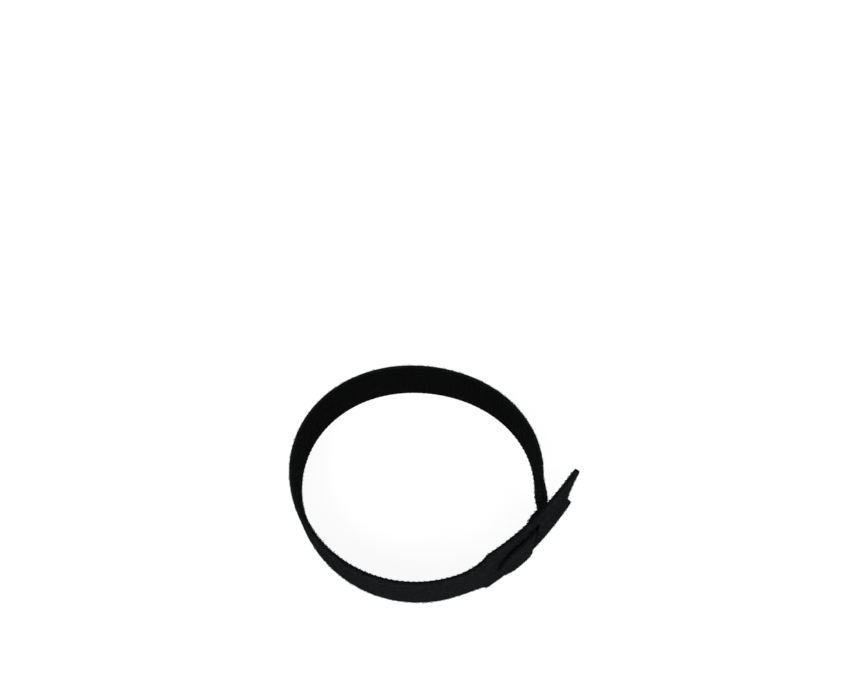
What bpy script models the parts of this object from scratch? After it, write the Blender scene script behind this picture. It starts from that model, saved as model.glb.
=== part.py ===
"""A hook and loop cable tie closed into a loop.

The tie is one strip of tape. It is drawn flat first, with its slotted head, its shoulders and its round
tail, and rows of hooks are left standing on one face. The strip is then bent round with the hooks inside,
and the tail goes through the slot in the head. Sizes are in metres, and +Z is up.
"""

import math

import bmesh
import bpy
import numpy as np

# The flat strip. Distances along it start at the free end of the head.
TIE_LENGTH = 0.200
STRAP_WIDTH = 0.012
THICKNESS = 0.0015
HEAD_WIDTH = 0.020
HEAD_LENGTH = 0.0288
HEAD_CORNER_RADIUS = 0.0015
HEAD_HOLLOW_RADIUS = 0.013
SHOULDER_LENGTH = 0.0075
SLOT_DISTANCE = 0.016
SLOT_OPENING = 0.0046
SLOT_SIDE_GAP = 0.0006
SLOT_CORNER_RADIUS = 0.0008

# Rows of hooks across the inner face
HOOK_ROW_PITCH = 0.0012
HOOK_ROW_WIDTH = 0.0006
HOOK_ROW_HEIGHT = 0.0003

# The closed loop, seen from above. Angles start at the near side and grow towards +X.
# The ring is a circle drawn out one way and made a little egg-shaped. The head's bend eases off by the flare
# towards its free end. The strap meets the head's inner face at the touch distance.
RING_OVAL = 0.0353
RING_OVAL_TURN = math.radians(-13.3)
RING_EGG = 0.0106
RING_EGG_TURN = math.radians(-8.5)
NECK_ANGLE = math.radians(35)
CLOSING_ANGLE = math.radians(86.4)
HEAD_BEND_RADIUS = 0.0535
HEAD_FLARE = 0.6
TOUCH_DISTANCE = 0.0112
TAIL_PAST_SLOT = 0.010
TAPE_GAP = 0.00035
SLOT_BEND_SHARE = 0.185

# Fineness of the curves
ARC_STEPS = 8
PATH_STEPS = 240
BEND_SLICE = 0.0004
WELD_DISTANCE = 1e-7
LENGTH_TOLERANCE = 1e-7
ANGLE_STEP = 1e-5

TAPE_COLOUR = (0.012, 0.012, 0.014, 1.0)
TAPE_ROUGHNESS = 0.92


def clear_scene():
    for item in list(bpy.data.objects):
        bpy.data.objects.remove(item, do_unlink=True)


def add_collection(name, hidden=False):
    collection = bpy.data.collections.new(name)
    collection.hide_render = hidden
    bpy.context.scene.collection.children.link(collection)
    return collection


def tape_material():
    material = bpy.data.materials.new("hook_loop_tape")
    material.use_nodes = True
    shader = material.node_tree.nodes["Principled BSDF"]
    shader.inputs["Base Color"].default_value = TAPE_COLOUR
    shader.inputs["Roughness"].default_value = TAPE_ROUGHNESS
    shader.inputs["Metallic"].default_value = 0.0
    return material


def arc(centre, radii, start, end, steps=ARC_STEPS):
    """Points on a circle or ellipse, from one angle to the other, with both ends."""
    angles = np.linspace(start, end, steps + 1)
    return [(centre[0] + radii[0] * math.cos(a), centre[1] + radii[1] * math.sin(a)) for a in angles]


def strip_outline():
    """The edge of the flat strip, counterclockwise from the tip of the tail."""
    tail_radius = STRAP_WIDTH / 2
    tail = arc((TIE_LENGTH - tail_radius, 0), (tail_radius, tail_radius), 0, math.pi / 2)
    shoulder_end = HEAD_LENGTH + SHOULDER_LENGTH
    shoulder_radii = (SHOULDER_LENGTH, (HEAD_WIDTH - STRAP_WIDTH) / 2)
    shoulder = arc((shoulder_end, HEAD_WIDTH / 2), shoulder_radii, -math.pi / 2, -math.pi)
    corner_height = HEAD_WIDTH / 2 - HEAD_CORNER_RADIUS
    reach = HEAD_HOLLOW_RADIUS + HEAD_CORNER_RADIUS
    hollow_angle = math.asin(corner_height / reach)
    hollow_centre = (HEAD_CORNER_RADIUS - reach * math.cos(hollow_angle), 0)
    corner_radii = (HEAD_CORNER_RADIUS, HEAD_CORNER_RADIUS)
    corner = arc((HEAD_CORNER_RADIUS, corner_height), corner_radii, math.pi / 2, math.pi + hollow_angle)
    hollow_radii = (HEAD_HOLLOW_RADIUS, HEAD_HOLLOW_RADIUS)
    hollow = arc(hollow_centre, hollow_radii, hollow_angle, 0)
    upper = tail + shoulder + corner + hollow[1:]
    lower = [(x, -y) for x, y in reversed(upper[1:-1])]
    return upper + lower


def slot_outline():
    """A slot across the head with rounded corners, a little wider than the strap that passes through it."""
    side = SLOT_OPENING / 2 - SLOT_CORNER_RADIUS
    end = STRAP_WIDTH / 2 + SLOT_SIDE_GAP - SLOT_CORNER_RADIUS
    radii = (SLOT_CORNER_RADIUS, SLOT_CORNER_RADIUS)
    outline = []
    for number, (x, y) in enumerate([(side, end), (-side, end), (-side, -end), (side, -end)]):
        start = number * math.pi / 2
        outline += arc((SLOT_DISTANCE + x, y), radii, start, start + math.pi / 2)
    return outline


def flat_strip(collection):
    """The strip as a filled outline with the slot as its hole, turned into a mesh."""
    curve = bpy.data.curves.new("flat_strip", "CURVE")
    curve.dimensions = "2D"
    curve.fill_mode = "BOTH"
    curve.extrude = THICKNESS / 2
    for outline in (strip_outline(), slot_outline()):
        spline = curve.splines.new("POLY")
        spline.points.add(len(outline) - 1)
        for point, (x, y) in zip(spline.points, outline):
            point.co = (x, y, 0, 1)
        spline.use_cyclic_u = True
    drawn = bpy.data.objects.new("flat_strip", curve)
    collection.objects.link(drawn)
    bpy.context.view_layer.update()
    evaluated = drawn.evaluated_get(bpy.context.evaluated_depsgraph_get())
    mesh = bpy.data.meshes.new_from_object(evaluated)
    bpy.data.objects.remove(drawn)
    strip = bpy.data.objects.new("cable_tie", mesh)
    collection.objects.link(strip)
    shape = bmesh.new()
    shape.from_mesh(mesh)
    bmesh.ops.remove_doubles(shape, verts=shape.verts, dist=WELD_DISTANCE)
    bmesh.ops.recalc_face_normals(shape, faces=shape.faces)
    shape.to_mesh(mesh)
    shape.free()
    return strip


def hook_row_starts():
    """Where each row of hooks begins. The first and last rows stay a pitch away from the strip's ends."""
    count = int((TIE_LENGTH - 2 * HOOK_ROW_PITCH) / HOOK_ROW_PITCH)
    return [HOOK_ROW_PITCH * (row + 1) for row in range(count)]


def hook_row_cutter(collection):
    """One bar for each furrow between two rows of hooks."""
    shape = bmesh.new()
    furrow = HOOK_ROW_PITCH - HOOK_ROW_WIDTH
    for start in hook_row_starts():
        bar = bmesh.ops.create_cube(shape, size=1)["verts"]
        bmesh.ops.scale(shape, verts=bar, vec=(furrow, 2 * HEAD_WIDTH, 2 * HOOK_ROW_HEIGHT))
        middle = start + HOOK_ROW_WIDTH + furrow / 2
        bmesh.ops.translate(shape, verts=bar, vec=(middle, 0, -THICKNESS / 2))
    mesh = bpy.data.meshes.new("hook_furrows")
    shape.to_mesh(mesh)
    shape.free()
    cutter = bpy.data.objects.new("hook_furrows", mesh)
    cutter.display_type = "WIRE"
    cutter.hide_render = True
    collection.objects.link(cutter)
    return cutter


def cut_hook_rows(strip, cutter):
    modifier = strip.modifiers.new("hook_rows", "BOOLEAN")
    modifier.operation = "DIFFERENCE"
    modifier.solver = "EXACT"
    modifier.object = cutter
    bpy.context.view_layer.update()
    evaluated = strip.evaluated_get(bpy.context.evaluated_depsgraph_get())
    cut = bpy.data.meshes.new_from_object(evaluated)
    cut.name = "cable_tie"
    strip.modifiers.clear()
    strip.data = cut


def outward(angle):
    """Unit vector in plan. Zero points to the near side, and the angle grows towards +X."""
    return np.stack([np.sin(angle), -np.cos(angle)], axis=-1)


def unit(vector):
    return vector / np.linalg.norm(vector)


def bezier(start, start_handle, end_handle, end, steps):
    t = np.linspace(0, 1, steps)[:, None]
    u = 1 - t
    return u**3 * start + 3 * u**2 * t * start_handle + 3 * u * t**2 * end_handle + t**3 * end


def ring_point(size, angle):
    """A point of the ring of this radius."""
    angle = np.asarray(angle)
    oval = RING_OVAL * np.cos(2 * (angle - RING_OVAL_TURN))
    egg = RING_EGG * np.cos(3 * (angle - RING_EGG_TURN))
    radius = size * (1 - oval + egg)
    return radius[..., None] * outward(angle)


def loop_path(size):
    """The centre line in plan, from the head's free end round the ring of this size to the tail's tip."""
    ring_start = ring_point(size, np.array([NECK_ANGLE, NECK_ANGLE + ANGLE_STEP]))
    rise = ring_start[1] - ring_start[0]
    neck_normal = math.atan2(rise[1], rise[0])

    # The head runs back from the neck, and the flare takes its bend away bit by bit
    back = np.linspace(0, HEAD_LENGTH, PATH_STEPS)
    head_normal = neck_normal + (back - HEAD_FLARE * back**2 / (2 * HEAD_LENGTH)) / HEAD_BEND_RADIUS
    head_step = HEAD_LENGTH / (PATH_STEPS - 1)
    heading = np.stack([np.cos(head_normal), np.sin(head_normal)], axis=-1)
    walked = np.cumsum((heading[1:] + heading[:-1]) / 2 * head_step, axis=0)
    head_line = ring_start[0] + np.concatenate([[[0, 0]], walked])

    def head(distance, offset):
        behind = HEAD_LENGTH - np.asarray(distance)
        spot = np.stack([np.interp(behind, back, column) for column in head_line.T], axis=-1)
        return spot + np.asarray(offset)[..., None] * outward(np.interp(behind, back, head_normal))

    head_run = head(np.linspace(0, HEAD_LENGTH, PATH_STEPS), 0.0)
    ring_run = ring_point(size, np.linspace(NECK_ANGLE, CLOSING_ANGLE - 2 * math.pi, PATH_STEPS))

    # The tail lies on the inner face of the head, steps through the slot and ends on the outer face
    past_slot = np.linspace(TOUCH_DISTANCE - SLOT_DISTANCE, TAIL_PAST_SLOT, PATH_STEPS)
    step = (THICKNESS + TAPE_GAP) * np.tanh(past_slot / (SLOT_BEND_SHARE * SLOT_OPENING))
    tail_run = head(SLOT_DISTANCE + past_slot, step)

    leave = unit(ring_run[-1] - ring_run[-2])
    arrive = unit(tail_run[1] - tail_run[0])
    reach = np.linalg.norm(tail_run[0] - ring_run[-1]) / 3
    closing_run = bezier(
        ring_run[-1], ring_run[-1] + reach * leave, tail_run[0] - reach * arrive, tail_run[0], PATH_STEPS
    )
    return np.concatenate([head_run, ring_run[1:], closing_run[1:], tail_run[1:]])


def distances_along(points):
    steps = np.linalg.norm(np.diff(points, axis=0), axis=1)
    return np.concatenate([[0], np.cumsum(steps)])


def fitted_path():
    """The loop path whose length is the length of the tie. The ring's radius is found by halving."""
    low, high = 0.05 * TIE_LENGTH, 0.25 * TIE_LENGTH
    while high - low > LENGTH_TOLERANCE:
        middle = (low + high) / 2
        if distances_along(loop_path(middle))[-1] < TIE_LENGTH:
            low = middle
        else:
            high = middle
    return loop_path(low)


def bender(path):
    """A function that takes flat positions (along, across, out of the outer face) to their place on the
    path. Across the strip is downwards there, which keeps the faces pointing out."""
    along = distances_along(path)
    tangents = np.gradient(path, along, axis=0)
    tangents /= np.linalg.norm(tangents, axis=1)[:, None]
    # The tie is walked clockwise as seen from above, so its outer face is on the left of each step
    normals = np.stack([-tangents[:, 1], tangents[:, 0]], axis=1)

    def bend(flat):
        flat = np.atleast_2d(flat)
        spot = [np.interp(flat[:, 0], along, column) for column in path.T]
        normal = np.array([np.interp(flat[:, 0], along, column) for column in normals.T])
        normal /= np.linalg.norm(normal, axis=0)
        plan = np.array(spot) + normal * flat[:, 2]
        return np.stack([plan[0], plan[1], -flat[:, 1]], axis=1)

    return bend


def slice_strip(shape, bend_spans):
    """Cuts the strip across, once in each furrow and closely where it bends sharply, so that it can bend."""
    stations = [start + (HOOK_ROW_PITCH + HOOK_ROW_WIDTH) / 2 for start in hook_row_starts()]
    for start, end in bend_spans:
        stations += list(np.arange(start, end, BEND_SLICE))
    for station in stations:
        geometry = shape.verts[:] + shape.edges[:] + shape.faces[:]
        bmesh.ops.bisect_plane(
            shape, geom=geometry, dist=WELD_DISTANCE, plane_co=(station, 0, 0), plane_no=(1, 0, 0)
        )


def resting_turn(bend, points):
    """Axis and angle that lay the loop down: on the two lower corners of its head and the far strap edge."""
    inner_face = -THICKNESS / 2
    corners = bend([
        (HEAD_CORNER_RADIUS, HEAD_WIDTH / 2, inner_face),
        (HEAD_LENGTH, HEAD_WIDTH / 2, inner_face),
    ])
    axis = unit((corners[0] - corners[1])[:2])
    away = np.array([-axis[1], axis[0]])
    reach = (points[:, :2] @ away).max() - corners[0, :2] @ away
    angle = math.atan((HEAD_WIDTH - STRAP_WIDTH) / 2 / reach)
    return axis, angle


def turned(points, axis, angle):
    """Points turned about a level axis through the origin, so that their far side goes down."""
    away = np.array([-axis[1], axis[0]])
    along = points[:, :2] @ axis
    across = points[:, :2] @ away
    height = points[:, 2]
    new_across = across * math.cos(angle) + height * math.sin(angle)
    new_height = height * math.cos(angle) - across * math.sin(angle)
    plan = along[:, None] * axis + new_across[:, None] * away
    return np.column_stack([plan, new_height])


def bend_strip(strip):
    path = fitted_path()
    bend = bender(path)
    slot_bend_start = TIE_LENGTH - TAIL_PAST_SLOT - SLOT_DISTANCE
    slot_bend_end = TIE_LENGTH - TAIL_PAST_SLOT + SLOT_OPENING
    shape = bmesh.new()
    shape.from_mesh(strip.data)
    slice_strip(shape, [(slot_bend_start, slot_bend_end)])
    flat = np.array([vertex.co[:] for vertex in shape.verts])
    points = bend(flat)
    axis, angle = resting_turn(bend, points)
    points = turned(points, axis, angle)
    low, high = points.min(axis=0), points.max(axis=0)
    points -= [(low[0] + high[0]) / 2, (low[1] + high[1]) / 2, low[2]]
    for vertex, point in zip(shape.verts, points):
        vertex.co = point
    shape.to_mesh(strip.data)
    shape.free()


def main():
    clear_scene()
    tie = add_collection("hook_and_loop_cable_tie")
    cutters = add_collection("cutters", hidden=True)
    strip = flat_strip(tie)
    cut_hook_rows(strip, hook_row_cutter(cutters))
    bend_strip(strip)
    strip.data.materials.clear()
    strip.data.materials.append(tape_material())


main()
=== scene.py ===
"""Looks of the hook and loop cable tie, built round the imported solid.

The tape is modelled flat first: a woven ground, a pile of loops on its outer face, rows of hooks on its
inner face and short fibres on its cut edges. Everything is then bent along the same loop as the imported
solid. Sizes are in metres, and +Z is up. A flat place is (along, across, out): along starts at the free end
of the head, and out is positive on the outer face.
"""

import math

import bpy
import numpy as np
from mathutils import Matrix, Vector, geometry
from mathutils.kdtree import KDTree

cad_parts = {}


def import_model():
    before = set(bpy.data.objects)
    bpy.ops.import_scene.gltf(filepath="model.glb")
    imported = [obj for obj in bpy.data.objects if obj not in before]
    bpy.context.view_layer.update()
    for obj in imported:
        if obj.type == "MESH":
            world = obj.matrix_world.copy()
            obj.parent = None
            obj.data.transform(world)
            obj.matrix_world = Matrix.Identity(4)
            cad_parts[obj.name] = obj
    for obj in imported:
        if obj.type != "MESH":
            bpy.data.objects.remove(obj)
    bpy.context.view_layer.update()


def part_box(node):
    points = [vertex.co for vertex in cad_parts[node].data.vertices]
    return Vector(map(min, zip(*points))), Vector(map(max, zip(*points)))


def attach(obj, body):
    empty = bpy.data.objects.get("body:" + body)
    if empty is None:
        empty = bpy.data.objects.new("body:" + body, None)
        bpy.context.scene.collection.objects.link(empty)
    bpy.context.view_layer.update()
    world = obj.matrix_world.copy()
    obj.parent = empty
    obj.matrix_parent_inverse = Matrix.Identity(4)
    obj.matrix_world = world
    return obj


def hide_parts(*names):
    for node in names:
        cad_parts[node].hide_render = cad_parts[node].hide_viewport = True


NODE = "cable_tie"
BODY = "root"
PLACE_ATTRIBUTE = "tape_place"

# The flat strip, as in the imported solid
TIE_LENGTH = 0.200
STRAP_WIDTH = 0.012
THICKNESS = 0.0015
HEAD_WIDTH = 0.020
HEAD_LENGTH = 0.0288
HEAD_CORNER_RADIUS = 0.0015
HEAD_HOLLOW_RADIUS = 0.013
SHOULDER_LENGTH = 0.0075
SLOT_DISTANCE = 0.016
SLOT_OPENING = 0.0046
SLOT_SIDE_GAP = 0.0006
SLOT_CORNER_RADIUS = 0.0008

# The closed loop, seen from above. Angles start at the near side and grow towards +X. The ring is a circle
# drawn out one way and made a little egg-shaped, and its radius is looked for in the range. The head's bend
# eases off by the flare towards its free end. The strap meets the head's inner face at the touch distance.
# The layer step is how far apart two closed layers lie, the hooks of one sunk into the pile of the other.
RING_RADIUS_RANGE = (0.05 * TIE_LENGTH, 0.25 * TIE_LENGTH)
RING_OVAL = 0.0353
RING_OVAL_TURN = math.radians(-13.3)
RING_EGG = 0.0106
RING_EGG_TURN = math.radians(-8.5)
NECK_ANGLE = math.radians(35)
CLOSING_ANGLE = math.radians(86.4)
HEAD_BEND_RADIUS = 0.0535
HEAD_FLARE = 0.6
TOUCH_DISTANCE = 0.0112
TAIL_PAST_SLOT = 0.010
SLOT_BEND_SHARE = 0.185
LAYER_STEP = 0.00145
PATH_STEPS = 240
LENGTH_TOLERANCE = 1e-7
ANGLE_STEP = 1e-5
ARC_STEPS = 24

# The woven ground. Its mesh is finer along the tape than across it, to hold the ribs under the hooks. Rings
# of points follow its cut edges, which are rounded and a little frayed. A ring's point is left out where
# another stretch of edge lies nearer than this share of its depth. The outer face is a little rumpled.
GROUND_OUTER = 0.00060
GROUND_INNER = 0.00045
GROUND_STEP_ALONG = 0.0002
GROUND_STEP_ACROSS = 0.0006
GRID_CLEARANCE = 0.00008
OUTLINE_SAMPLE = 0.00003
MERGE_DISTANCE = 1e-8
EDGE_STEP = 0.00022
EDGE_RINGS = (0.00003, 0.00009, 0.00018, 0.0003)
EDGE_RING_SHARE = 0.9
EDGE_ROUNDING = 0.0003
EDGE_SQUARENESS = 4
EDGE_FRAY = 0.00005
EDGE_FRAY_WAVE = 0.0011
EDGE_FRAY_SLANT = 0.3
RUMPLE = 0.00002
RUMPLE_WAVE = 0.0023
RUMPLE_SLANT = 0.8
RIB_RISE = 0.00005

# The smooth noise adds up waves of two rates that never fall in step, each octave half as long and high
NOISE_OCTAVES = 3
NOISE_RATES = (2 * math.pi, 3.7)

# Rows of hooks on the inner face. A hook is a short stem and a crook that thins towards its tip. The stem's
# two points lie this many crook radii behind the middle of the crook. The spreads are standard deviations
# of a hook's place in hook pitches, of its size as a share, and of its heading in radians.
HOOK_ROW_PITCH = 0.0012
HOOK_ROW_WIDTH = 0.0006
HOOK_PITCH = 0.00050
HOOK_STAGGER = 0.00017
HOOK_EDGE_MARGIN = 0.0005
HOOK_CROOK_RADIUS = 0.00012
HOOK_STEM = 0.00013
HOOK_STEM_MIDDLE = 0.45
HOOK_STEM_BACK = (1.25, 1.1)
HOOK_FOOT = 0.0001
HOOK_THREAD = 0.000062
HOOK_TAPER = (1.25, 1.05, 1, 1, 1, 0.95, 0.85, 0.6)
HOOK_TURN = math.radians(215)
HOOK_SIDES = 4
HOOK_PLACE_SPREAD = 0.09
HOOK_SIZE_SPREAD = 0.05
HOOK_HEADING_SPREAD = 0.18

# The pile of loops on the outer face
PILE_PITCH = 0.00040
PILE_EDGE_MARGIN = 0.00008
PILE_SPANS = (0.00032, 0.00075)
PILE_HEIGHTS = (0.00010, 0.00026)
PILE_LEAN = math.radians(48)
PILE_WANDER = 0.22
PILE_BULGE = 0.4
PILE_FULLNESS = 0.8
PILE_THREAD = 0.000028
PILE_SIDES = 3
PILE_STEPS = 6
PILE_PIECES = ("pile_on_head", "pile_on_near_strap", "pile_on_far_strap", "pile_on_closing_strap")

# Fibres along the cut edges. They bow out by the reach and bend off along the edge by the drift.
FIBRE_PITCH = 0.00017
FIBRE_ROOT = 0.00006
FIBRE_ROOT_SHARE = 0.8
FIBRE_REACH = (0.00002, 0.00011)
FIBRE_BOW = 0.7
FIBRE_DRIFT = 0.00022
FIBRE_BEND = 1.3
FIBRE_SIDE_RISE = 0.3
FIBRE_THREAD = 0.000022
FIBRE_STEPS = 5

SEED = 20

# The camera, at the photograph's place. Its lens and sensor are in millimetres.
CAMERA_PLACE = (-0.00317, -0.06879, 0.18794)
CAMERA_TILT = math.radians(30.22)
CAMERA_ROLL = math.radians(1.26)
CAMERA_LENS = 34.98
CAMERA_CLIP = (0.005, 10)
SENSOR_WIDTH = 36

# Colours and finish of the tape. A colour drifts between shades, which are shares of it. Painted shade
# darkens the hollows of the felt or weave, and painted light brightens their raised threads. A band is the
# stretch of a pattern's value over which the shade changes.
GROUND_COLOUR = (0.0099, 0.0109, 0.0115)
HOOK_SIDE_COLOUR = (0.0027, 0.0029, 0.0029)
HOOK_COLOUR = (0.0050, 0.0056, 0.0053)
PILE_COLOUR = (0.0122, 0.0138, 0.0148)
GROUND_ROUGHNESS = 0.95
HOOK_ROUGHNESS = 0.6
PILE_ROUGHNESS = 0.85
TAPE_SPECULAR = 0.03
GROUND_DRIFT_SCALE = 900.0
HOOK_DRIFT_SCALE = 1500.0
PILE_DRIFT_SCALE = 700.0
DRIFT_BAND = (0.35, 0.65)
DRIFT_SHADES = (0.65, 1.4)
PAINTED_HOLLOW_SHADES = (0.45, 1.35)
FELT_SCALE = 4200.0
FELT_BAND = (0.38, 0.62)
WEAVE_SCALE = 900.0
WEAVE_WOBBLE = 0.6
WEAVE_BAND = (0.1, 0.9)
TWIST_SCALE = 9000.0
OUTER_COLOUR_HEIGHT = 0.9 * GROUND_OUTER
BUMP_STRENGTH = 0.8
BUMP_DEPTH = 0.00006

# Floor and light, with the powers in watts
FLOOR_COLOUR = (0.90, 0.90, 0.90)
FLOOR_ROUGHNESS = 0.9
FLOOR_SIZE = 1.2
FLOOR_GLOW = 1.13
FLOOR_GLOW_SHARE = 0.78
WORLD_LIGHT = 0.45
WORLD_SEEN = 1.0
LAMP_SIZE = 0.6
KEY_PLACE = (-0.45, -0.6, 0.75)
KEY_POWER = 6.0
FILL_PLACE = (0.65, -0.45, 0.5)
FILL_POWER = 3.5


def outward(angle):
    """Unit vector in plan. Zero points to the near side, and the angle grows towards +X."""
    return np.stack([np.sin(angle), -np.cos(angle)], axis=-1)


def unit(vector):
    return vector / np.linalg.norm(vector)


def bezier(start, start_handle, end_handle, end, steps):
    t = np.linspace(0, 1, steps)[:, None]
    u = 1 - t
    return u**3 * start + 3 * u**2 * t * start_handle + 3 * u * t**2 * end_handle + t**3 * end


def ring_point(size, angle):
    """A point of the ring of this radius."""
    angle = np.asarray(angle)
    oval = RING_OVAL * np.cos(2 * (angle - RING_OVAL_TURN))
    egg = RING_EGG * np.cos(3 * (angle - RING_EGG_TURN))
    radius = size * (1 - oval + egg)
    return radius[..., None] * outward(angle)


def loop_path(size):
    """The centre line in plan, from the head's free end round the ring of this size to the tail's tip."""
    ring_start = ring_point(size, np.array([NECK_ANGLE, NECK_ANGLE + ANGLE_STEP]))
    rise = ring_start[1] - ring_start[0]
    neck_normal = math.atan2(rise[1], rise[0])

    # The head runs back from the neck, and the flare takes its bend away bit by bit
    back = np.linspace(0, HEAD_LENGTH, PATH_STEPS)
    head_normal = neck_normal + (back - HEAD_FLARE * back**2 / (2 * HEAD_LENGTH)) / HEAD_BEND_RADIUS
    head_step = HEAD_LENGTH / (PATH_STEPS - 1)
    heading = np.stack([np.cos(head_normal), np.sin(head_normal)], axis=-1)
    walked = np.cumsum((heading[1:] + heading[:-1]) / 2 * head_step, axis=0)
    head_line = ring_start[0] + np.concatenate([[[0, 0]], walked])

    def head(distance, offset):
        behind = HEAD_LENGTH - np.asarray(distance)
        spot = np.stack([np.interp(behind, back, column) for column in head_line.T], axis=-1)
        return spot + np.asarray(offset)[..., None] * outward(np.interp(behind, back, head_normal))

    head_run = head(np.linspace(0, HEAD_LENGTH, PATH_STEPS), 0.0)
    ring_run = ring_point(size, np.linspace(NECK_ANGLE, CLOSING_ANGLE - 2 * math.pi, PATH_STEPS))

    # The tail lies on the inner face of the head, steps through the slot and ends on the outer face
    past_slot = np.linspace(TOUCH_DISTANCE - SLOT_DISTANCE, TAIL_PAST_SLOT, PATH_STEPS)
    step = LAYER_STEP * np.tanh(past_slot / (SLOT_BEND_SHARE * SLOT_OPENING))
    tail_run = head(SLOT_DISTANCE + past_slot, step)

    leave = unit(ring_run[-1] - ring_run[-2])
    arrive = unit(tail_run[1] - tail_run[0])
    reach = np.linalg.norm(tail_run[0] - ring_run[-1]) / 3
    closing_run = bezier(
        ring_run[-1], ring_run[-1] + reach * leave, tail_run[0] - reach * arrive, tail_run[0], PATH_STEPS
    )
    return np.concatenate([head_run, ring_run[1:], closing_run[1:], tail_run[1:]])


def distances_along(points):
    steps = np.linalg.norm(np.diff(points, axis=0), axis=1)
    return np.concatenate([[0], np.cumsum(steps)])


def fitted_path():
    """The loop path whose length is the length of the tie. The ring's radius is found by halving."""
    low, high = RING_RADIUS_RANGE
    while high - low > LENGTH_TOLERANCE:
        middle = (low + high) / 2
        if distances_along(loop_path(middle))[-1] < TIE_LENGTH:
            low = middle
        else:
            high = middle
    return loop_path(low)


def bender(path):
    """A function that takes flat places to their place on the path."""
    along = distances_along(path)
    tangents = np.gradient(path, along, axis=0)
    tangents /= np.linalg.norm(tangents, axis=1)[:, None]
    normals = np.stack([-tangents[:, 1], tangents[:, 0]], axis=1)

    def bend(flat):
        spot = np.array([np.interp(flat[:, 0], along, column) for column in path.T])
        normal = np.array([np.interp(flat[:, 0], along, column) for column in normals.T])
        normal /= np.linalg.norm(normal, axis=0)
        plan = spot + normal * flat[:, 2]
        return np.stack([plan[0], plan[1], -flat[:, 1]], axis=1)

    return bend


def turned(points, axis, angle):
    """Points turned about a level axis through the origin, so that their far side goes down."""
    away = np.array([-axis[1], axis[0]])
    along = points[:, :2] @ axis
    across = points[:, :2] @ away
    height = points[:, 2]
    new_across = across * math.cos(angle) + height * math.sin(angle)
    new_height = height * math.cos(angle) - across * math.sin(angle)
    plan = along[:, None] * axis + new_across[:, None] * away
    return np.column_stack([plan, new_height])


def placer(edge, node_low):
    """A function that takes flat places to the closed tie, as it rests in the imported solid's box."""
    bend = bender(fitted_path())
    inner_face = -THICKNESS / 2
    corners = bend(np.array([
        (HEAD_CORNER_RADIUS, HEAD_WIDTH / 2, inner_face),
        (HEAD_LENGTH, HEAD_WIDTH / 2, inner_face),
    ]))
    axis = unit((corners[0] - corners[1])[:2])
    away = np.array([-axis[1], axis[0]])
    faces = [np.column_stack([edge, np.full(len(edge), side * THICKNESS / 2)]) for side in (1, -1)]
    shell = bend(np.vstack(faces))
    reach = (shell[:, :2] @ away).max() - corners[0, :2] @ away
    angle = math.atan((HEAD_WIDTH - STRAP_WIDTH) / 2 / reach)
    shift = np.array(node_low) - turned(shell, axis, angle).min(axis=0)

    def place(flat):
        return turned(bend(flat), axis, angle) + shift

    return place


def arc(centre, radii, start, end):
    angles = np.linspace(start, end, ARC_STEPS + 1)
    return [(centre[0] + radii[0] * math.cos(a), centre[1] + radii[1] * math.sin(a)) for a in angles]


def strip_outline():
    """The edge of the flat strip, counterclockwise from the tip of the tail."""
    tail_radius = STRAP_WIDTH / 2
    tail = arc((TIE_LENGTH - tail_radius, 0), (tail_radius, tail_radius), 0, math.pi / 2)
    shoulder_end = HEAD_LENGTH + SHOULDER_LENGTH
    shoulder_radii = (SHOULDER_LENGTH, (HEAD_WIDTH - STRAP_WIDTH) / 2)
    shoulder = arc((shoulder_end, HEAD_WIDTH / 2), shoulder_radii, -math.pi / 2, -math.pi)
    corner_height = HEAD_WIDTH / 2 - HEAD_CORNER_RADIUS
    reach = HEAD_HOLLOW_RADIUS + HEAD_CORNER_RADIUS
    hollow_angle = math.asin(corner_height / reach)
    hollow_centre = (HEAD_CORNER_RADIUS - reach * math.cos(hollow_angle), 0)
    corner_radii = (HEAD_CORNER_RADIUS, HEAD_CORNER_RADIUS)
    corner = arc((HEAD_CORNER_RADIUS, corner_height), corner_radii, math.pi / 2, math.pi + hollow_angle)
    hollow = arc(hollow_centre, (HEAD_HOLLOW_RADIUS, HEAD_HOLLOW_RADIUS), hollow_angle, 0)
    upper = tail + shoulder + corner + hollow[1:]
    lower = [(x, -y) for x, y in reversed(upper[1:-1])]
    return np.array(upper + lower)


def slot_outline():
    """The edge of the slot, clockwise, which keeps the tape on its left as the strip's edge does."""
    side = SLOT_OPENING / 2 - SLOT_CORNER_RADIUS
    end = STRAP_WIDTH / 2 + SLOT_SIDE_GAP - SLOT_CORNER_RADIUS
    radii = (SLOT_CORNER_RADIUS, SLOT_CORNER_RADIUS)
    outline = []
    for number, (x, y) in enumerate([(side, end), (-side, end), (-side, -end), (side, -end)]):
        start = number * math.pi / 2
        outline += arc((SLOT_DISTANCE + x, y), radii, start, start + math.pi / 2)
    return np.array(outline)[::-1]


def resampled(outline, spacing):
    """A closed outline with evenly spaced points."""
    closed = np.vstack([outline, outline[:1]])
    along = distances_along(closed)
    count = int(along[-1] / spacing)
    stations = np.linspace(0, along[-1], count, endpoint=False)
    return np.column_stack([np.interp(stations, along, column) for column in closed.T])


def inward_normals(outline):
    ahead = np.roll(outline, -1, axis=0) - np.roll(outline, 1, axis=0)
    ahead /= np.linalg.norm(ahead, axis=1)[:, None]
    return np.stack([-ahead[:, 1], ahead[:, 0]], axis=1)


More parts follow.
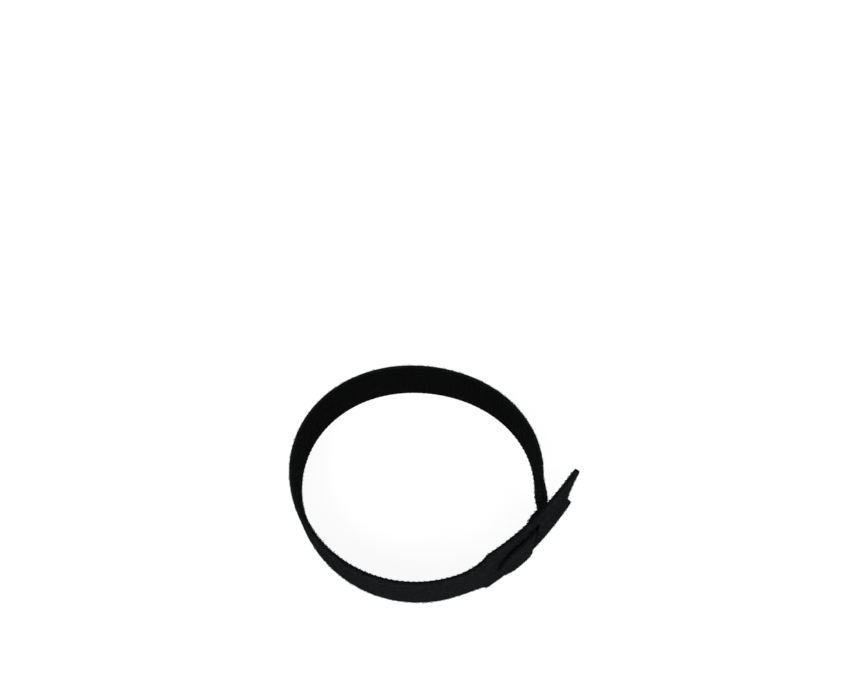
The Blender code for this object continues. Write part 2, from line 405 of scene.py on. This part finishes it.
class TapeShape:
    """The flat shape of the tape, and how far inside its cut edges a place lies."""

    def __init__(self):
        self.outlines = [resampled(outline, EDGE_STEP) for outline in (strip_outline(), slot_outline())]
        samples = [resampled(outline, OUTLINE_SAMPLE) for outline in self.outlines]
        self.samples = np.vstack(samples)
        self.inwards = np.vstack([inward_normals(sample) for sample in samples])
        self.tree = KDTree(len(self.samples))
        for number, (x, y) in enumerate(self.samples):
            self.tree.insert((x, y, 0), number)
        self.tree.balance()

    def inside(self, places):
        """Distance in from the nearest cut edge. It is negative off the tape."""
        depths = np.empty(len(places))
        for number, (x, y) in enumerate(places[:, :2]):
            _, nearest, distance = self.tree.find((x, y, 0))
            towards = (x, y) - self.samples[nearest]
            depths[number] = math.copysign(distance, towards @ self.inwards[nearest])
        return depths


def smooth_noise(values, wavelength, seed):
    """A smooth random wave between -1 and 1 over these values."""
    rng = np.random.default_rng(seed)
    total = np.zeros(len(values))
    highest = 0
    for octave in range(NOISE_OCTAVES):
        for rate in NOISE_RATES:
            phase = rng.uniform(0, 2 * math.pi)
            total += np.sin(values / wavelength * 2**octave * rate + phase) / 2**octave
            highest += 1 / 2**octave
    return total / highest


def rib_rise(along):
    """How far the ground rises under each row of hooks."""
    phase = (along - HOOK_ROW_WIDTH / 2) / HOOK_ROW_PITCH
    return RIB_RISE * (0.5 + 0.5 * np.cos(2 * math.pi * phase))


def ground_points(tape):
    """Flat points for the ground's mesh, and the pairs of them that follow the cut edges."""
    pairs, start = [], 0
    for outline in tape.outlines:
        numbers = np.arange(start, start + len(outline))
        pairs += list(zip(numbers.tolist(), np.roll(numbers, -1).tolist()))
        start += len(outline)
    layers = []
    for depth in EDGE_RINGS:
        for outline in tape.outlines:
            ring = outline + depth * inward_normals(outline)
            layers.append(ring[tape.inside(ring) > EDGE_RING_SHARE * depth])
    along = np.arange(0, TIE_LENGTH, GROUND_STEP_ALONG)
    across = np.arange(-HEAD_WIDTH / 2, HEAD_WIDTH / 2, GROUND_STEP_ACROSS) + GROUND_STEP_ACROSS / 2
    grid = np.array(np.meshgrid(along, across, indexing="ij"))
    grid[1, ::2] += GROUND_STEP_ACROSS / 2
    grid = grid.reshape(2, -1).T
    near = np.abs(grid[:, 1]) < HEAD_WIDTH / 2
    near &= (np.abs(grid[:, 1]) < STRAP_WIDTH / 2) | (grid[:, 0] < HEAD_LENGTH + SHOULDER_LENGTH)
    grid = grid[near]
    layers.append(grid[tape.inside(grid) > EDGE_RINGS[-1] + GRID_CLEARANCE])
    return np.vstack(tape.outlines), np.vstack(layers), pairs


def ground_mesh(tape):
    """The ground: two faces that meet at rounded cut edges. Returns flat places and triangles."""
    boundary, inner, pairs = ground_points(tape)
    flat = np.vstack([boundary, inner])
    result = geometry.delaunay_2d_cdt([Vector(p) for p in flat], pairs, [], 0, MERGE_DISTANCE)
    points = np.array([v[:] for v in result[0]])
    triangles = np.array(result[2])
    middles = points[triangles].mean(axis=1)
    triangles = triangles[tape.inside(middles) > 0]
    corners = points[triangles]
    first, second = corners[:, 1] - corners[:, 0], corners[:, 2] - corners[:, 0]
    turned_over = first[:, 0] * second[:, 1] - first[:, 1] * second[:, 0] < 0
    triangles[turned_over] = triangles[turned_over][:, ::-1]

    depth = np.clip(tape.inside(points) / EDGE_ROUNDING, 0, 1)
    rounding = (1 - (1 - depth) ** EDGE_SQUARENESS) ** (1 / EDGE_SQUARENESS)
    is_edge = np.zeros(len(points), bool)
    is_edge[: len(boundary)] = True
    rounding[is_edge] = 0
    fray_wave = smooth_noise(points[:, 0] + EDGE_FRAY_SLANT * points[:, 1], EDGE_FRAY_WAVE, SEED)
    fray = EDGE_FRAY * fray_wave
    points[:, 1] += np.sign(points[:, 1]) * fray * (1 - depth)
    rumple = RUMPLE * smooth_noise(points[:, 0] * RUMPLE_SLANT + points[:, 1], RUMPLE_WAVE, SEED + 1)
    outer = rounding * (GROUND_OUTER + rumple)
    inner_side = -rounding * (GROUND_INNER + rib_rise(points[:, 0]))
    numbers = np.arange(len(points))
    second_layer = numbers + len(points)
    second_layer[is_edge] = numbers[is_edge]
    places = np.vstack([np.column_stack([points, outer]), np.column_stack([points, inner_side])])
    faces = np.vstack([triangles, second_layer[triangles][:, ::-1]])
    used, faces = np.unique(faces, return_inverse=True)
    return places[used], faces.reshape(-1, 3).tolist()


def swept(lines, radii, side_ways, sides):
    """Closed tubes along many lines at once, as flat places and faces.

    lines is (tube, point, 3) and radii is (tube, point). side_ways is one vector for each tube, and the
    first corner of each of its rings lies towards it.
    """
    count, steps = lines.shape[:2]
    tangents = np.gradient(lines, axis=1)
    tangents /= np.linalg.norm(tangents, axis=2, keepdims=True)
    across = side_ways[:, None] - (side_ways[:, None] * tangents).sum(axis=2, keepdims=True) * tangents
    across /= np.linalg.norm(across, axis=2, keepdims=True)
    up = np.cross(tangents, across)
    angles = np.arange(sides) * 2 * math.pi / sides
    spokes = across[:, :, None] * np.cos(angles)[:, None] + up[:, :, None] * np.sin(angles)[:, None]
    rings = lines[:, :, None] + radii[..., None, None] * spokes
    numbers = np.arange(count * steps * sides).reshape(count, steps, sides)
    here, there = numbers[:, :-1], numbers[:, 1:]
    quads = np.stack([here, np.roll(here, -1, 2), np.roll(there, -1, 2), there], axis=-1).reshape(-1, 4)
    caps = np.vstack([numbers[:, 0, ::-1], numbers[:, -1]])
    return rings.reshape(-1, 3), quads.tolist() + caps.tolist()


def hook_feet(tape, rng):
    """Where each hook stands, and which way along the tape it points."""
    rows = np.arange(HOOK_ROW_PITCH, TIE_LENGTH - HOOK_ROW_PITCH, HOOK_ROW_PITCH) + HOOK_ROW_WIDTH / 2
    columns = np.arange(-HEAD_WIDTH / 2, HEAD_WIDTH / 2, HOOK_PITCH) + HOOK_PITCH / 2
    along, across = np.meshgrid(rows, columns, indexing="ij")
    ways = np.where(np.arange(len(columns)) % 2, 1.0, -1.0) * np.ones_like(along)
    feet = np.column_stack([(along + HOOK_STAGGER * ways).ravel(), across.ravel()])
    feet += rng.normal(0, HOOK_PLACE_SPREAD, feet.shape) * HOOK_PITCH
    kept = tape.inside(feet) > HOOK_EDGE_MARGIN
    return feet[kept], ways.ravel()[kept]


def hooks(tape, rng):
    """Crook-shaped hooks, one line for each."""
    feet, ways = hook_feet(tape, rng)
    count = len(feet)
    crook = np.linspace(math.pi, math.pi - HOOK_TURN, len(HOOK_TAPER) - len(HOOK_STEM_BACK))
    forth = np.concatenate([-np.array(HOOK_STEM_BACK), np.cos(crook)]) * HOOK_CROOK_RADIUS
    stem_rise = [-HOOK_FOOT, HOOK_STEM_MIDDLE * HOOK_STEM]
    rise = np.concatenate([stem_rise, HOOK_STEM + HOOK_CROOK_RADIUS * np.sin(crook)])
    size = rng.normal(1, HOOK_SIZE_SPREAD, count)[:, None]
    heading = rng.normal(0, HOOK_HEADING_SPREAD, count)
    forward = ways[:, None] * np.stack([np.cos(heading), np.sin(heading)], axis=1)
    lines = np.empty((count, len(rise), 3))
    lines[:, :, :2] = feet[:, None] + forward[:, None] * (forth * size)[..., None]
    ground = GROUND_INNER + rib_rise(feet[:, 0])
    lines[:, :, 2] = -(ground[:, None] + rise * size)
    side_ways = np.column_stack([-forward[:, 1], forward[:, 0], np.zeros(count)])
    radii = np.broadcast_to(HOOK_THREAD * np.array(HOOK_TAPER), (count, len(rise)))
    return lines, radii, side_ways


def pile_feet(tape, rng):
    """A loose, even scatter of places over the outer face."""
    along = np.arange(0, TIE_LENGTH, PILE_PITCH)
    across = np.arange(-HEAD_WIDTH / 2, HEAD_WIDTH / 2, PILE_PITCH)
    grid = np.array(np.meshgrid(along, across, indexing="ij")).reshape(2, -1).T
    grid += rng.uniform(-0.5, 0.5, grid.shape) * PILE_PITCH
    return grid[tape.inside(grid) > PILE_EDGE_MARGIN]


def pile(tape, rng):
    """Loose loops of thread, both feet in the ground."""
    feet = pile_feet(tape, rng)
    count = len(feet)
    t = np.linspace(0, 1, PILE_STEPS)
    span = rng.uniform(*PILE_SPANS, count)[:, None]
    height = rng.uniform(*PILE_HEIGHTS, count)[:, None]
    heading = rng.uniform(0, 2 * math.pi, count)
    forward = np.stack([np.cos(heading), np.sin(heading)], axis=1)
    aside = np.stack([-forward[:, 1], forward[:, 0]], axis=1)
    lean = rng.uniform(-PILE_LEAN, PILE_LEAN, count)[:, None]
    bulge = 1 + PILE_BULGE * np.sin(math.pi * t) ** 2
    forth = -span / 2 * np.cos(math.pi * t) * bulge
    rise = height * np.sin(math.pi * t) ** PILE_FULLNESS
    wander = rng.normal(0, PILE_WANDER, count)[:, None] * span * np.sin(2 * math.pi * t)
    sideways = rise * np.sin(lean) + wander
    lines = np.empty((count, PILE_STEPS, 3))
    lines[:, :, :2] = feet[:, None] + forward[:, None] * forth[..., None]
    lines[:, :, :2] += aside[:, None] * sideways[..., None]
    lines[:, :, 2] = GROUND_OUTER - PILE_THREAD + rise * np.cos(lean)
    side_ways = np.column_stack([aside * np.cos(lean), -np.sin(lean)])
    radii = np.full((count, PILE_STEPS), PILE_THREAD)
    return lines, radii, side_ways


def edge_fibres(tape, rng):
    """Short fibres that stick out of the cut edges and bend off along them."""
    edges = [resampled(outline, FIBRE_PITCH) for outline in tape.outlines]
    edge = np.vstack(edges)
    inward = np.vstack([inward_normals(points) for points in edges])
    along = np.column_stack([inward[:, 1], -inward[:, 0]])
    count = len(edge)
    t = np.linspace(0, 1, FIBRE_STEPS)
    reach = rng.uniform(*FIBRE_REACH, count)[:, None] * np.sin(math.pi * t * FIBRE_BOW)
    reach -= FIBRE_ROOT * (1 - t)
    drift = rng.normal(0, FIBRE_DRIFT, count)[:, None] * t**FIBRE_BEND
    root = rng.uniform(-GROUND_INNER, GROUND_OUTER, count)[:, None] * FIBRE_ROOT_SHARE
    rise = root + rng.normal(0, FIBRE_DRIFT / 2, count)[:, None] * t
    shift = rng.uniform(-0.5, 0.5, count)[:, None] * FIBRE_PITCH
    lines = np.empty((count, FIBRE_STEPS, 3))
    lines[:, :, :2] = edge[:, None] + along[:, None] * (drift + shift)[..., None]
    lines[:, :, :2] -= inward[:, None] * reach[..., None]
    lines[:, :, 2] = rise
    side_ways = np.column_stack([along, np.full(count, FIBRE_SIDE_RISE)])
    radii = np.full((count, FIBRE_STEPS), FIBRE_THREAD)
    return lines, radii, side_ways


def add_piece(name, flat, faces, place, material):
    """A mesh object from flat places. The flat place is kept on each vertex for the material."""
    mesh = bpy.data.meshes.new(name)
    mesh.from_pydata(place(flat).tolist(), [], faces)
    mesh.shade_smooth()
    kept = mesh.attributes.new(PLACE_ATTRIBUTE, "FLOAT_VECTOR", "POINT")
    kept.data.foreach_set("vector", flat.astype(np.float32).ravel())
    mesh.materials.append(material)
    piece = bpy.data.objects.new(name, mesh)
    bpy.context.scene.collection.objects.link(piece)
    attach(piece, BODY)
    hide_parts(NODE)


def add_threads(name, threads, sides, place, material, chosen=slice(None)):
    """One piece from the chosen threads, or from all of them."""
    lines, radii, side_ways = [part[chosen] for part in threads]
    flat, faces = swept(lines, radii, side_ways, sides)
    add_piece(name, flat, faces, place, material)


class Nodes:
    """A short way to add nodes to a material or world, and to link them."""

    def __init__(self, owner):
        owner.use_nodes = True
        self.tree = owner.node_tree

    def add(self, kind, settings=None, **inputs):
        node = self.tree.nodes.new(kind)
        for key, value in (settings or {}).items():
            setattr(node, key, value)
        for key, value in inputs.items():
            self.put(node.inputs[key.replace("_", " ")], value)
        return node

    def put(self, socket, value):
        if isinstance(value, bpy.types.NodeSocket):
            self.tree.links.new(value, socket)
        else:
            socket.default_value = value

    def calculate(self, operation, *values):
        node = self.add("ShaderNodeMath", {"operation": operation})
        for socket, value in zip(node.inputs, values):
            self.put(socket, value)
        return node.outputs["Value"]


def new_material(name):
    """A material, a short way to its nodes, and its shader."""
    material = bpy.data.materials.new(name)
    nodes = Nodes(material)
    return material, nodes, nodes.tree.nodes["Principled BSDF"]


def tinted(colour, factor):
    return tuple(channel * factor for channel in colour) + (1.0,)


def drifting_colour(nodes, place, colour, scale):
    """A colour that drifts a little lighter and darker over the tape."""
    drift = nodes.add("ShaderNodeTexNoise", Vector=place, Scale=scale, Detail=6.0, Roughness=0.65)
    ramp = nodes.add("ShaderNodeValToRGB", Fac=drift.outputs["Fac"])
    for element, position, shade in zip(ramp.color_ramp.elements, DRIFT_BAND, DRIFT_SHADES):
        element.position = position
        element.color = tinted(colour, shade)
    return ramp.outputs["Color"]


def painted_hollow_shade(nodes, colour, height, band):
    """The colour with painted shade where the threads leave a hollow and painted light on the raised
    threads.
    """
    shade = nodes.add(
        "ShaderNodeMapRange", Value=height, From_Min=band[0], From_Max=band[1],
        To_Min=PAINTED_HOLLOW_SHADES[0], To_Max=PAINTED_HOLLOW_SHADES[1],
    )
    scaled = nodes.add("ShaderNodeVectorMath", {"operation": "SCALE"}, Scale=shade.outputs["Result"])
    nodes.put(scaled.inputs[0], colour)
    return scaled.outputs["Vector"]


def outer_share(nodes, place):
    """0 on the inner face and 1 on the outer face. It rises over the cut edge."""
    out = nodes.add("ShaderNodeSeparateXYZ", Vector=place).outputs["Z"]
    share = nodes.add("ShaderNodeMapRange", Value=out, From_Min=-GROUND_INNER, From_Max=OUTER_COLOUR_HEIGHT)
    return share.outputs["Result"]


def mixed(nodes, data_type, share, inner, outer):
    """The inner face's value or colour, turning into the outer face's. Only the type's sockets are on."""
    mix = nodes.add("ShaderNodeMix", {"data_type": data_type})
    live = [socket for socket in mix.inputs if socket.enabled]
    for socket, value in zip(live, (share, inner, outer)):
        nodes.put(socket, value)
    return next(socket for socket in mix.outputs if socket.enabled)


def woven_height(nodes, place):
    """A plain weave, from two sets of threads that cross."""
    bands = []
    for direction in ("X", "Y"):
        wave = nodes.add(
            "ShaderNodeTexWave", {"bands_direction": direction},
            Vector=place, Scale=WEAVE_SCALE, Distortion=WEAVE_WOBBLE, Detail=1.0,
        )
        bands.append(wave.outputs["Fac"])
    return nodes.calculate("ABSOLUTE", nodes.calculate("SUBTRACT", *bands))


def tape_place(nodes):
    """The flat place of each point of a piece."""
    return nodes.add("ShaderNodeAttribute", {"attribute_name": PLACE_ATTRIBUTE}).outputs["Vector"]


def dull_finish(nodes, shader, colour, height, roughness):
    """Sets this colour, and a bump from this height, on a shader with hardly any gloss."""
    nodes.put(shader.inputs["Base Color"], colour)
    nodes.put(shader.inputs["Roughness"], roughness)
    nodes.put(shader.inputs["Specular IOR Level"], TAPE_SPECULAR)
    bump = nodes.add("ShaderNodeBump", Height=height, Strength=BUMP_STRENGTH, Distance=BUMP_DEPTH)
    nodes.put(shader.inputs["Normal"], bump.outputs["Normal"])


def ground_material():
    """Felted yarn on the outer face. Over the cut edge it darkens into the plain weave of the inner face."""
    material, nodes, shader = new_material("woven_ground")
    place = tape_place(nodes)
    felt = nodes.add("ShaderNodeTexNoise", Vector=place, Scale=FELT_SCALE, Detail=3.0, Distortion=2.5)
    felt_height = felt.outputs["Fac"]
    weave_height = woven_height(nodes, place)
    yarn = drifting_colour(nodes, place, GROUND_COLOUR, GROUND_DRIFT_SCALE)
    # Painted shade in the hollows of the felt and the weave, and painted light on their raised threads
    outer_colour = painted_hollow_shade(nodes, yarn, felt_height, FELT_BAND)
    inner_colour = painted_hollow_shade(nodes, HOOK_SIDE_COLOUR, weave_height, WEAVE_BAND)
    share = outer_share(nodes, place)
    colour = mixed(nodes, "RGBA", share, inner_colour, outer_colour)
    height = mixed(nodes, "FLOAT", share, weave_height, felt_height)
    dull_finish(nodes, shader, colour, height, GROUND_ROUGHNESS)
    return material


def thread_material(name, colour, roughness, drift_scale):
    """Single threads: their colour drifts, and a bump gives the twist of the yarn."""
    material, nodes, shader = new_material(name)
    place = tape_place(nodes)
    twist = nodes.add("ShaderNodeTexNoise", Vector=place, Scale=TWIST_SCALE, Detail=2.0).outputs["Fac"]
    dull_finish(nodes, shader, drifting_colour(nodes, place, colour, drift_scale), twist, roughness)
    return material


def seen_directly(nodes):
    """1 where a camera, a reflection or glass sees the surface, and 0 where it only gives light."""
    path = nodes.add("ShaderNodeLightPath")
    seen = nodes.calculate("MAXIMUM", path.outputs["Is Camera Ray"], path.outputs["Is Glossy Ray"])
    return nodes.calculate("MAXIMUM", seen, path.outputs["Is Transmission Ray"])


def floor_material():
    """A white paper floor. What is seen of it is lifted most of the way to white, and its shadow stays."""
    material, nodes, shader = new_material("floor")
    nodes.put(shader.inputs["Base Color"], tinted(FLOOR_COLOUR, 1))
    nodes.put(shader.inputs["Roughness"], FLOOR_ROUGHNESS)
    nodes.put(shader.inputs["Specular IOR Level"], 0.0)
    glow = nodes.add("ShaderNodeEmission", Color=(1, 1, 1, 1), Strength=FLOOR_GLOW)
    share = nodes.calculate("MULTIPLY", seen_directly(nodes), FLOOR_GLOW_SHARE)
    mix = nodes.add("ShaderNodeMixShader", Fac=share)
    nodes.put(mix.inputs[1], shader.outputs["BSDF"])
    nodes.put(mix.inputs[2], glow.outputs["Emission"])
    nodes.put(nodes.tree.nodes["Material Output"].inputs["Surface"], mix.outputs["Shader"])
    return material


def add_floor():
    bpy.ops.mesh.primitive_plane_add(size=FLOOR_SIZE, location=(0, 0, 0))
    floor = bpy.context.object
    floor.name = "floor"
    floor.data.materials.append(floor_material())


def light_world():
    """An even surround that is white where the camera sees it and gives less light than that."""
    world = bpy.data.worlds.new("surround")
    bpy.context.scene.world = world
    nodes = Nodes(world)
    seen = nodes.add("ShaderNodeLightPath").outputs["Is Camera Ray"]
    strength = nodes.add("ShaderNodeMapRange", Value=seen, To_Min=WORLD_LIGHT, To_Max=WORLD_SEEN)
    background = nodes.tree.nodes["Background"]
    nodes.put(background.inputs["Color"], (1, 1, 1, 1))
    nodes.put(background.inputs["Strength"], strength.outputs["Result"])


def add_lamp(name, place, power):
    """A soft square lamp that faces the origin."""
    lamp = bpy.data.lights.new(name, "AREA")
    lamp.shape = "SQUARE"
    lamp.size = LAMP_SIZE
    lamp.energy = power
    holder = bpy.data.objects.new(name, lamp)
    holder.location = place
    holder.rotation_euler = (-Vector(place)).to_track_quat("-Z", "Y").to_euler()
    bpy.context.scene.collection.objects.link(holder)


def add_camera():
    camera = bpy.data.cameras.new("camera")
    camera.sensor_width = SENSOR_WIDTH
    camera.lens = CAMERA_LENS
    camera.clip_start, camera.clip_end = CAMERA_CLIP
    holder = bpy.data.objects.new("camera", camera)
    holder.location = CAMERA_PLACE
    holder.rotation_mode = "ZYX"
    holder.rotation_euler = (CAMERA_TILT, 0, CAMERA_ROLL)
    bpy.context.scene.collection.objects.link(holder)
    bpy.context.scene.camera = holder


def add_tie():
    """The eight pieces of the tape. The random draws come in this order: hooks, pile, fibres."""
    tape = TapeShape()
    node_low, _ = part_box(NODE)
    place = placer(tape.samples, node_low)
    rng = np.random.default_rng(SEED)
    head_end = HEAD_LENGTH + SHOULDER_LENGTH
    hook_thread = thread_material("hook_thread", HOOK_COLOUR, HOOK_ROUGHNESS, HOOK_DRIFT_SCALE)
    pile_thread = thread_material("pile_thread", PILE_COLOUR, PILE_ROUGHNESS, PILE_DRIFT_SCALE)
    add_piece("tape_ground", *ground_mesh(tape), place, ground_material())

    all_hooks = hooks(tape, rng)
    on_head = all_hooks[0][:, 0, 0] < head_end
    add_threads("hooks_on_head", all_hooks, HOOK_SIDES, place, hook_thread, on_head)
    add_threads("hooks_on_strap", all_hooks, HOOK_SIDES, place, hook_thread, ~on_head)

    loops = pile(tape, rng)
    along = loops[0][:, 0, 0]
    bounds = np.concatenate([[0], np.linspace(head_end, TIE_LENGTH, len(PILE_PIECES))])
    for name, start, end in zip(PILE_PIECES, bounds, bounds[1:]):
        add_threads(name, loops, PILE_SIDES, place, pile_thread, (along >= start) & (along < end))
    add_threads("edge_fibres", edge_fibres(tape, rng), PILE_SIDES, place, pile_thread)


def main():
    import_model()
    bpy.context.scene.view_settings.view_transform = "Standard"
    add_camera()
    light_world()
    add_lamp("key", KEY_PLACE, KEY_POWER)
    add_lamp("fill", FILL_PLACE, FILL_POWER)
    add_floor()
    add_tie()


main()
